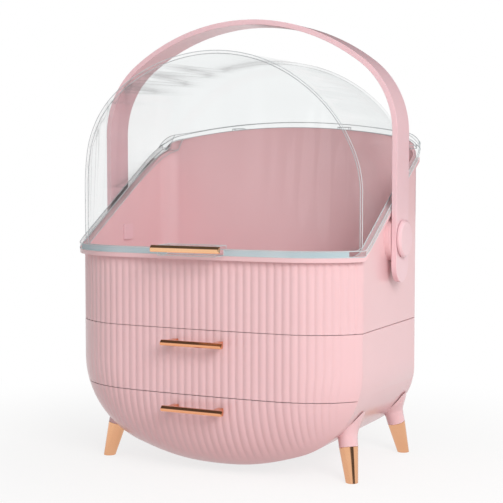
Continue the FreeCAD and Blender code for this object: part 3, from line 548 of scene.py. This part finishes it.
def drawer_front(name, body, z_low, z_high, z_floor, rows):
    """A reeded front between two seams."""
    bm = bmesh.new()
    columns = REEDS * PER_REED
    bmesh.ops.create_grid(bm, x_segments=columns, y_segments=rows, size=1.0)
    for vert in bm.verts:
        index = round((vert.co.x + 1) / 2 * columns)
        share = (vert.co.y + 1) / 2
        vert.co = reeded_place(index, z_low + (z_high - z_low) * share)
    bmesh.ops.bisect_plane(bm, geom=bm.verts[:] + bm.edges[:] + bm.faces[:],
                           plane_co=(0, CUT_Y, 0), plane_no=(0, 1, 0), clear_outer=True)
    bmesh.ops.delete(bm, geom=[v for v in bm.verts if not v.link_faces], context="VERTS")
    wall = bmesh.ops.extrude_face_region(bm, geom=bm.faces[:], use_keep_orig=True)
    for vert in [v for v in wall["geom"] if isinstance(v, bmesh.types.BMVert)]:
        x, y, z = vert.co
        step = BACK_RIM * max(1.0 - depth_inside(x, z) / RIM_REACH, 0.0)
        way = inward(x, z) * step
        x += way.x
        z = min(z + way.y, z_high)
        z = max(z, z_floor + (z - z_low) * FLOOR_RISE)
        vert.co = (x, min(front_y(x, z, FRONT_WALL), CUT_Y), z)
    for vert in bm.verts:
        x, y, z = vert.co
        vert.co = place(x, y, hung(x, z) if body == "lower_drawer" else z)
    return piece_from(bm, name, body, "pink_plastic", pink, smooth=SMOOTH_REEDS)


upper_front = drawer_front("upper_reeded_front", "upper_drawer",
                           UPPER_LOW, UPPER_HIGH, UPPER_FLOOR, UPPER_ROWS)
lower_front = drawer_front("lower_reeded_front", "lower_drawer",
                           LOWER_LOW, LOWER_HIGH, LOWER_FLOOR, LOWER_ROWS)
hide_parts("upper_drawer_front")
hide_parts("lower_drawer_front")
print("fronts:", len(upper_front.data.polygons), len(lower_front.data.polygons), "faces")

# %% [markdown]
# ## Tray
#
# The rim, the raised back, the pivot bosses and the hinge ears keep the construction
# shape.  The reeds of its skirt are coarse there.  The whole tray could be modelled
# again, but a thin strip with finely rounded reeds, laid over them, does it with one
# row of faces.  It is sunk into the wall behind and closed at its ends.

# %%
SKIRT_LOW = 138.5
REED_TOP = 202.1
UNDER_LIP = 0.05       # gap to the rim's lip
SKIRT_WALL = 1.6
SKIRT_END_Y = 5.0      # how far back the strip's ends run along the sides
END_FADE = 3.0
TRAY_BEVEL = 0.45


def skirt_strip():
    """A reeded strip along the front of the tray, from the seam to the rim's lip."""
    bm = bmesh.new()
    outline = []
    for index, x in enumerate(stations):
        along = across(x, SEAM_Z)
        groove = reed_groove(index) * smooth_step((HALF - abs(x)) / END_FADE)
        outline.append((x - along.y * groove, front_y(x, SEAM_Z) + along.x * groove))
    outline = [(-HALF, SKIRT_END_Y)] + outline + [(HALF, SKIRT_END_Y)]
    lower = [bm.verts.new(place(x, y, SKIRT_LOW)) for x, y in outline]
    strip = [bm.edges.new(pair) for pair in zip(lower, lower[1:])]
    raised = bmesh.ops.extrude_edge_only(bm, edges=strip)
    lift = [v for v in raised["geom"] if isinstance(v, bmesh.types.BMVert)]
    bmesh.ops.translate(bm, verts=lift, vec=(0, 0, (REED_TOP - UNDER_LIP - SKIRT_LOW) * MM))
    bmesh.ops.recalc_face_normals(bm, faces=bm.faces)
    if bm.faces[len(bm.faces) // 2].normal.y > 0:
        bmesh.ops.reverse_faces(bm, faces=bm.faces)
    bmesh.ops.solidify(bm, geom=bm.faces[:], thickness=SKIRT_WALL * MM)
    return bm


tray_body = piece_from(merged("upper_tray"), "tray_with_raised_back", "case",
                       "pink_plastic", pink)
even_shading(soften(tray_body, TRAY_BEVEL))
skirt = piece_from(skirt_strip(), "tray_reeded_skirt", "case",
                   "pink_plastic", pink, smooth=SMOOTH_REEDS)
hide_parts("upper_tray")
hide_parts("upper_tray")
print("tray:", len(tray_body.data.polygons), "skirt:", len(skirt.data.polygons), "faces")

# %% [markdown]
# ## The belly and the legs
#
# The belly of the case and of the lower box hangs a little lower than in the solids, by
# the same rule as the lower front, so the three still fit.  The legs could be modelled
# anew from a swept circle, but would have to be fitted to the case again.  So their
# construction mesh is kept: each leg is cut into rings across its axis, and the rings
# are scaled so that the leg swells evenly into the case instead of by a plain cone.

# %%
FOOT_X = 129.2
FRONT_FOOT_Y = -36.1
REAR_FOOT_Y = 110.4
SPLAY = 0.185
RAKE = 0.19
LEG_REACH = 40.0       # seen from above, a leg stays this near to its foot
FERRULE_LENGTH = 32.0
NECK_RADIUS = 8.8
NECK_LENGTH = 11.0
ROOT_RADIUS = 17.0
ROOT_LENGTH = 30.0
RINGS = 6
RING_STEP = 3.0
SWELL_LEAD = 6.0       # how far below the root's cone the swelling begins
SWELL_RATE = 0.02
MOST_SWELL = 1.08

neck_end = FERRULE_LENGTH + NECK_LENGTH
flare = (ROOT_RADIUS - NECK_RADIUS) / (ROOT_LENGTH - NECK_LENGTH)


def hang_belly(bm):
    """Lower the belly of a construction mesh by the rule of the lower front."""
    for vert in bm.verts:
        vert.co.z = hung(vert.co.x / MM, vert.co.z / MM) * MM


def cut_rings(bm, near, foot, axis):
    """Cut rings across one leg and return its points with the new ones."""
    for ring in range(1, RINGS + 1):
        leg = set(near)
        faces = [f for f in bm.faces if all(v in leg for v in f.verts)]
        edges = [e for e in bm.edges if all(v in leg for v in e.verts)]
        height = neck_end + RING_STEP * ring - SWELL_LEAD
        cut = bmesh.ops.bisect_plane(bm, geom=near + edges + faces, plane_no=axis,
                                     plane_co=foot + axis * height * MM)
        near = near + [v for v in cut["geom_cut"] if isinstance(v, bmesh.types.BMVert)]
    return near


def smooth_legs(bm):
    """Let the legs swell evenly into the case."""
    for y in (FRONT_FOOT_Y, REAR_FOOT_Y):
        rake = -math.copysign(RAKE, y)
        for side in (-1, 1):
            foot = Vector((side * FOOT_X, y, 0)) * MM
            axis = Vector((-side * SPLAY, rake, 1)).normalized()
            near = [v for v in bm.verts
                    if (v.co - foot).xy.length < LEG_REACH * MM and v.co.x * side > 0]
            for vert in cut_rings(bm, near, foot, axis):
                along = (vert.co - foot).dot(axis)
                middle = foot + axis * along
                past_neck = along / MM - neck_end
                cone = NECK_RADIUS + max(past_neck, 0.0) * flare
                swell = NECK_RADIUS + SWELL_RATE * max(past_neck + SWELL_LEAD, 0.0) ** 2
                vert.co = middle + (vert.co - middle) * min(swell / cone, MOST_SWELL)


print("legs widen from", NECK_RADIUS, "to", ROOT_RADIUS, "mm in radius")

# %% [markdown]
# ## Pieces that keep their construction shape
#
# The rest could be drawn again, but the construction model already has its forms.  These
# are joined-up copies whose sharp edges are broken by a small bevel, because a moulded
# or plated edge is never sharp and catches a fine line of light.  The ringed legs and
# the clear lid have many short edges, which would pinch a bevel, so they go without.

# %%
KEPT = (
    # piece name, node, body, slot, material, bevel in mm
    ("case_shell", "lower_case", "case", "pink_plastic", pink, 0.5),
    ("shelf_plate", "drawer_shelf", "case", "inner_plastic", inner_pink, 0.3),
    ("splayed_legs", "case_legs", "case", "pink_plastic", pink, 0.0),
    ("foot_ferrules", "leg_ferrules", "case", "rose_gold", turned_gold, 0.25),
    ("clear_lid", "lid", "lid", "clear_plastic", glassy, 0.0),
    ("lid_bar", "lid_pull_bar", "lid", "rose_gold", bar_gold, 0.25),
    ("strap_handle", "handle_strap", "handle", "handle_plastic", strap_pink, 0.9),
    ("upper_box", "upper_drawer_box", "upper_drawer", "inner_plastic", inner_pink, 0.4),
    ("lower_box", "lower_drawer_box", "lower_drawer", "inner_plastic", inner_pink, 0.4),
    ("upper_bar", "upper_drawer_pull", "upper_drawer", "rose_gold", pull_gold, 0.25),
    ("lower_bar", "lower_drawer_pull", "lower_drawer", "rose_gold", pull_gold, 0.25),
    ("upper_screw_pair", "upper_pull_screws", "upper_drawer", "steel", pin_steel, 0.3),
    ("lower_screw_pair", "lower_pull_screws", "lower_drawer", "steel", pin_steel, 0.3),
    ("pivot_buttons", "pivot_caps", "case", "handle_plastic", strap_pink, 0.5),
    ("pivot_shafts", "pivot_pins", "case", "handle_plastic", strap_pink, 0.2),
    ("hinge_rod_left", "hinge_pin_left", "case", "steel", pin_steel, 0.2),
    ("hinge_rod_right", "hinge_pin_right", "case", "steel", pin_steel, 0.2),
)
RESHAPED = {"case_shell": hang_belly, "lower_box": hang_belly, "splayed_legs": smooth_legs}

kept = {}
for name, node, body, slot, material, bevel in KEPT:
    bm = merged(node)
    if name in RESHAPED:
        RESHAPED[name](bm)
    piece = piece_from(bm, name, body, slot, material)
    if bevel:
        soften(piece, bevel)
    even_shading(piece)
    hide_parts(node)
    kept[name] = piece
print("kept:", len(kept), "pieces")

# %% [markdown]
# ## Edges of the clear lid
#
# A clear lid reads by its edges.  The cut faces round its flange and tab take the thick
# finish, and along every sharp edge runs a fine bead: the rounded edge itself, as a thin
# curve that keeps its width where a bevel would be pinched by short edges.  Its pale
# colour is a painted highlight, and so is the pale tone of the cut faces over their own
# blue-green cast.

# %%
FLANGE_HIGH = 212.6    # the front run of the flange and the tab lie below this
FRONT_CUT_Y = -40.0    # and in front of this
DOME_SIDE = 145.2      # the flange stands out beyond the dome's sides
UPRIGHT = 0.5          # a face whose normal rises less than this is a cut face
CUT_FINISH = 1
RIM_FINISH = 2
BEAD = 0.36            # radius of a bead

lid_piece = kept["clear_lid"]
lid_piece.data.materials.append(glassy_cut)
lid_piece.data.materials.append(glassy_flange_highlight)
corners = lid_piece.data.vertices
for face in lid_piece.data.polygons:
    highest = max(corners[i].co.z for i in face.vertices)
    if highest < FLANGE_HIGH * MM and face.center.y < FRONT_CUT_Y * MM:
        # Upright cut faces of the front flange and tab take a painted highlight over their own
        # cast.
        if abs(face.normal.z) < UPRIGHT:
            face.material_index = CUT_FINISH
    # The flange's sides take the near-white finish, a painted highlight.
    elif abs(face.center.x) > DOME_SIDE * MM:
        face.material_index = RIM_FINISH
finishes = [face.material_index for face in lid_piece.data.polygons]
print("cut faces:", finishes.count(CUT_FINISH), "rim faces:", finishes.count(RIM_FINISH))


def sharp_lines(node, name):
    """The sharp edges of a construction node, as a mesh of bare edges."""
    bm = merged(node)
    blunt = [edge for edge in bm.edges
             if len(edge.link_faces) == 2 and edge.calc_face_angle(0.0) < math.radians(SHARP)]
    bmesh.ops.delete(bm, geom=blunt, context="EDGES_FACES")
    bmesh.ops.delete(bm, geom=bm.faces[:], context="FACES_ONLY")
    lines = bpy.data.meshes.new(name)
    bm.to_mesh(lines)
    bm.free()
    return lines


def runs(lines):
    """The edges of a mesh as long runs of points, broken only where edges branch."""
    joined = {}
    for edge in lines.edges:
        for vertex in edge.vertices:
            joined.setdefault(vertex, []).append(edge.index)
    left = set(range(len(lines.edges)))
    branches = [vertex for vertex, edges in joined.items() if len(edges) != 2]
    for start in branches + list(joined):
        for first in joined[start]:
            if first not in left:
                continue
            path = [start]
            at = start
            edge = first
            while edge is not None:
                left.discard(edge)
                pair = lines.edges[edge].vertices
                at = pair[1] if pair[0] == at else pair[0]
                path.append(at)
                onward = [e for e in joined[at] if e in left]
                edge = onward[0] if onward and len(joined[at]) == 2 else None
            yield [lines.vertices[vertex].co for vertex in path]


def edge_beads(node, name, body, material):
    """Fine round beads along the sharp edges of a construction node."""
    curve = bpy.data.curves.new(name, "CURVE")
    curve.dimensions = "3D"
    curve.bevel_depth = BEAD * MM
    curve.bevel_resolution = 1
    curve.materials.append(material)
    for path in runs(sharp_lines(node, name)):
        spline = curve.splines.new("POLY")
        spline.points.add(len(path) - 1)
        for point, where in zip(spline.points, path):
            point.co = (*where, 1.0)
    piece = bpy.data.objects.new(name, curve)
    bpy.context.scene.collection.objects.link(piece)
    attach(piece, body)
    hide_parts(node)
    return piece


# The beads are the rounded edges; their pale colour is a painted highlight.
beads = edge_beads("lid", "clear_lid_edges", "lid", glassy_edge_highlight)
print("beads:", len(beads.data.splines), "runs")

# %% [markdown]
# ## Table
#
# A product like this is shown on a white table that runs into a white wall with no line
# between them.  The table top is white where it is seen and a pale pinkish grey for the
# light it throws back, so it doesn't wash out the underside of the case.  Close to the case it
# takes a light shadow, and further out it turns by degrees into plain white.  A curved
# sheet would need more light to look white, and that light would fall on the case too.

# %%
NEAR = 0.16            # metres from the middle where the fade begins
FAR = 0.55             # and where it ends
LEAST_WHITE = 0.78
MOTTLE_SCALE = 9.0
MOTTLE_HEIGHT = 0.1 * MM
TABLE_HALF = 6.0       # half the width of the table top in metres


def studio_floor():
    """A large white table top that fades to plain white away from the case."""
    graph = new_graph("table top")
    mottle = graph.noise(MOTTLE_SCALE)
    seen = graph.add("ShaderNodeLightPath", output="Is Camera Ray")
    mirrored = graph.add("ShaderNodeLightPath", output="Is Glossy Ray")
    through = graph.add("ShaderNodeLightPath", output="Is Transmission Ray")
    top = graph.blend(mottle, linear(253, 252, 250), linear(251, 250, 248))
    matt = graph.surface(
        Base_Color=graph.blend(seen, linear(220, 204, 202), top),
        Roughness=0.75 + mottle * 0.05,
        Normal=graph.bump(mottle, MOTTLE_HEIGHT),
        Specular_IOR_Level=0.2,
    )
    white = graph.add("ShaderNodeEmission", {}, {"Color": (1, 1, 1, 1), "Strength": 1.0})
    here = graph.place((1.0, 1.0, 0.0))
    reach = graph.add("ShaderNodeVectorMath", {"operation": "LENGTH"}, {0: here}, output="Value")
    fade = graph.add("ShaderNodeMapRange", {"interpolation_type": "SMOOTHSTEP"},
                     {"Value": reach, "From Min": NEAR, "From Max": FAR,
                      "To Min": LEAST_WHITE, "To Max": 1.0})
    material = graph.finish(graph.mix(fade * (seen + mirrored + through), matt, white))
    bm = bmesh.new()
    bmesh.ops.create_grid(bm, x_segments=4, y_segments=4, size=TABLE_HALF)
    mesh = bpy.data.meshes.new("table_top")
    bm.to_mesh(mesh)
    bm.free()
    mesh.materials.append(material)
    floor = bpy.data.objects.new("table_top", mesh)
    bpy.context.scene.collection.objects.link(floor)
    return floor


floor = studio_floor()
print("table top:", floor.name)

# %% [markdown]
# ## Light
#
# One broad soft light stands on the right in front of the case and rakes across the
# reeds.  The surround gives the rest: as a light it is brighter on the right than on
# the left, and in mirrors it shows white and black boards by turns, which is what gives
# polished metal its bright and dark streaks.  Several lamps would light the case as
# well, but each would leave a shadow of its own.

# %%
def soft_light(name, at, towards, size, power):
    """A square soft light aimed at a place."""
    lamp = bpy.data.lights.new(name, "AREA")
    lamp.shape = "SQUARE"
    lamp.size = size
    lamp.energy = power
    light = bpy.data.objects.new(name, lamp)
    light.location = at
    light.rotation_euler = (Vector(towards) - Vector(at)).to_track_quat("-Z", "Y").to_euler()
    light.visible_glossy = False
    bpy.context.scene.collection.objects.link(light)
    return light


# Share of a full turn from -X, anticlockwise from above, and how white the board there is.
BOARDS = ((0.00, 0.55), (0.16, 0.80), (0.22, 1.0), (0.33, 1.0), (0.38, 0.12), (0.46, 0.10),
          (0.50, 1.0), (0.66, 1.0), (0.71, 0.04), (0.80, 0.04), (0.86, 0.35))
BOARDS_END = 0.25      # rise of a mirrored ray where the boards begin to give way
OVERHEAD_FROM = 0.60   # and where only the dim ceiling is left
OVERHEAD = 0.10
SIDE_FROM = (0.85, -0.25, 0.45)
LEVEL = 0.49           # mean strength of the surround as a light
SWING = 0.25           # how much stronger it is on one side and weaker on the other
KEY_AT = (1.15, -1.05, 0.95)
KEY_TOWARDS = (0.0, -0.05, 0.2)
KEY_SIZE = 0.8
KEY_POWER = 17.0


def surround(level, swing):
    """White when seen straight, boards in mirrors, and a lopsided light otherwise."""
    graph = Graph(bpy.data.worlds.new("surround"), "ShaderNodeOutputWorld")

    def background(strength):
        return graph.add("ShaderNodeBackground", {}, {"Color": (1, 1, 1, 1),
                                                      "Strength": strength})

    def map_range(value, low, high, style="SMOOTHSTEP"):
        return graph.add("ShaderNodeMapRange", {"interpolation_type": style},
                         {"Value": value, "From Min": low, "From Max": high})

    way = graph.add("ShaderNodeTexCoord", output="Generated")
    parts = [graph.add("ShaderNodeSeparateXYZ", {}, {0: way}, output=i) for i in range(3)]
    turn = graph.add("ShaderNodeMath", {"operation": "ARCTAN2"}, {0: parts[1], 1: parts[0]})
    share = turn / (2 * math.pi) + 0.5
    board = graph.add("ShaderNodeValToRGB", {}, {"Fac": share})
    ramp = board.socket.node.color_ramp
    ramp.interpolation = "EASE"
    while len(ramp.elements) < len(BOARDS):
        ramp.elements.new(0.5)
    for element, (at, white) in zip(ramp.elements, BOARDS):
        element.position = at
        element.color = (white, white, white, 1.0)
    upward = map_range(parts[2], BOARDS_END, OVERHEAD_FROM)
    boards = graph.mix(board, background(0.0), background(1.0))
    mirrors = graph.mix(upward, boards, background(OVERHEAD))
    side = graph.add("ShaderNodeVectorMath", {"operation": "DOT_PRODUCT"},
                     {0: way, 1: Vector(SIDE_FROM).normalized()}, output="Value")
    lopsided = graph.mix(map_range(side, -1.0, 1.0, "LINEAR"),
                         background(level - swing), background(level + swing))
    glossy = graph.add("ShaderNodeLightPath", output="Is Glossy Ray")
    clear_ray = graph.add("ShaderNodeLightPath", output="Is Transmission Ray")
    camera_ray = graph.add("ShaderNodeLightPath", output="Is Camera Ray")
    lit = graph.mix(glossy, lopsided, mirrors)
    lit = graph.mix(clear_ray, lit, background(1.0))
    bpy.context.scene.world = graph.finish(graph.mix(camera_ray, lit, background(1.0)))


surround(LEVEL, SWING)
key = soft_light("key", KEY_AT, KEY_TOWARDS, KEY_SIZE, KEY_POWER)
print("lights: surround and", key.name)

# %% [markdown]
# ## Camera
#
# A long lens from a little to the right and slightly above, which keeps the uprights
# nearly straight.  A wide lens close by would make the legs lean.

# %%
LENS = 90.70
SENSOR = 36.0
CAMERA_AT = (0.54513, -1.09171, 0.28488)
CAMERA_WAY = (-0.4390, 0.8961, -0.0663)

camera_data = bpy.data.cameras.new("camera")
camera_data.lens = LENS
camera_data.sensor_width = SENSOR
camera = bpy.data.objects.new("camera", camera_data)
camera.location = CAMERA_AT
camera.rotation_euler = Vector(CAMERA_WAY).to_track_quat("-Z", "Y").to_euler()
bpy.context.scene.collection.objects.link(camera)
bpy.context.scene.camera = camera
bpy.context.scene.view_settings.view_transform = "Standard"
print("camera:", camera.name, "with a lens of", LENS, "mm")

# %% [markdown]
# ## The end
#
# The scene is brought up to date.

# %%
bpy.context.view_layer.update()
